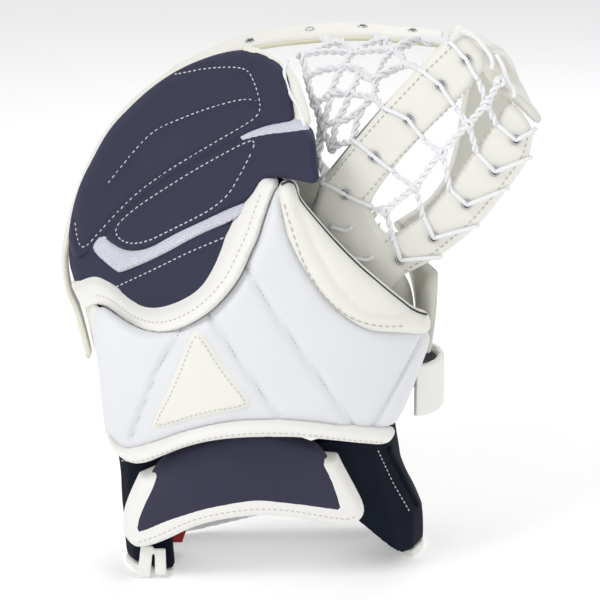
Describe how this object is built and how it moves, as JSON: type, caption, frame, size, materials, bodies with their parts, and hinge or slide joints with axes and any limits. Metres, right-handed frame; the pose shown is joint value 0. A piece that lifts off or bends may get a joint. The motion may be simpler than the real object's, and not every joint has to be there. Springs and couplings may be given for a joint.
{
  "type": "goalie catch glove",
  "caption": "Left-hand ice hockey goalie catch glove with padded backhand, cuff, double-T laced pocket, wrist gaiter, closing hinge, wrist flap and wrist strap.",
  "frame": {"origin": "centre of the bounding box at the surface the glove stands on", "axes": "+Z from the wrist up towards the finger rim, -Y out of the back of the hand, +X towards the thumb"},
  "size_m": [0.3523, 0.1956, 0.3991],
  "materials": {
    "navy_nylon": "woven",
    "mesh_fabric": "open mesh",
    "white_leather": "fine grain",
    "cream_leather": "fine grain",
    "white_binding": "rolled binding",
    "lace": "braided",
    "eyelet_metal": "satin",
    "inner_board": "moulded",
    "foam": "closed cell",
    "lining": "brushed",
    "navy_gaiter": "smooth nylon",
    "red_lining": "woven",
    "hook_and_loop": "hook pile"
  },
  "bodies": {
    "cuff": {"cuff_pad": "white_leather", "cuff_patch": "white_leather", "cuff_board": "inner_board", "cuff_bottom_binding": "cream_leather", "thumb_cover": "cream_leather", "thumb_wall": "cream_leather", "thumb_side_panel": "cream_leather", "thumb_leaf": "cream_leather", "thumb_rim_binding": "white_binding", "thumb_stall": "lining", "palm_thumb": "cream_leather", "palm_foam_thumb": "foam", "thumb_board": "inner_board", "palm_break": "cream_leather", "t_strap_thumb": "cream_leather", "t_crossbar": "cream_leather", "t_eyelets_thumb": "eyelet_metal", "net_centre": "lace", "net_thumb": "lace", "wing_left": "navy_gaiter", "wing_left_binding": "white_binding", "wing_right": "navy_gaiter", "wing_right_binding": "white_binding", "heel_strap": "cream_leather", "wrist_tabs": "white_binding", "lining_tab": "red_lining"},
    "fingers": {"backhand_upper_pad": "navy_nylon", "backhand_overlay": "navy_nylon", "backhand_mesh": "mesh_fabric", "backhand_lower_pad": "navy_nylon", "backhand_binding": "white_binding", "index_edge_wall": "white_binding", "palm_fingers": "cream_leather", "palm_foam_fingers": "foam", "finger_board": "inner_board", "finger_rim": "cream_leather", "finger_stalls": "lining", "t_strap_fingers": "cream_leather", "t_eyelets_fingers": "eyelet_metal", "net_fingers": "lace"},
    "wrist_flap": {"wrist_flap_pad": "navy_gaiter", "wrist_flap_binding": "white_binding"},
    "wrist_strap": {"wrist_strap": "white_leather", "wrist_strap_hook": "hook_and_loop"}
  },
  "joints": [
    {"name": "finger_close", "type": "hinge", "parent": "cuff", "child": "fingers", "pos_m": [0.0565, -0.0168, 0.2526], "axis": [-0.6648, 0, -0.747], "range_deg": [0, 18], "deforming": ["palm_break", "t_crossbar", "net_centre"]},
    {"name": "flap_lift", "type": "hinge", "parent": "cuff", "child": "wrist_flap", "pos_m": [-0.0309, -0.0708, 0.118], "axis": [-1, 0, 0], "range_deg": [0, 15]},
    {"name": "strap_open", "type": "hinge", "parent": "cuff", "child": "wrist_strap", "pos_m": [0.0861, -0.0393, 0.1365], "axis": [0, 0, -1], "range_deg": [0, 54]}
  ]
}
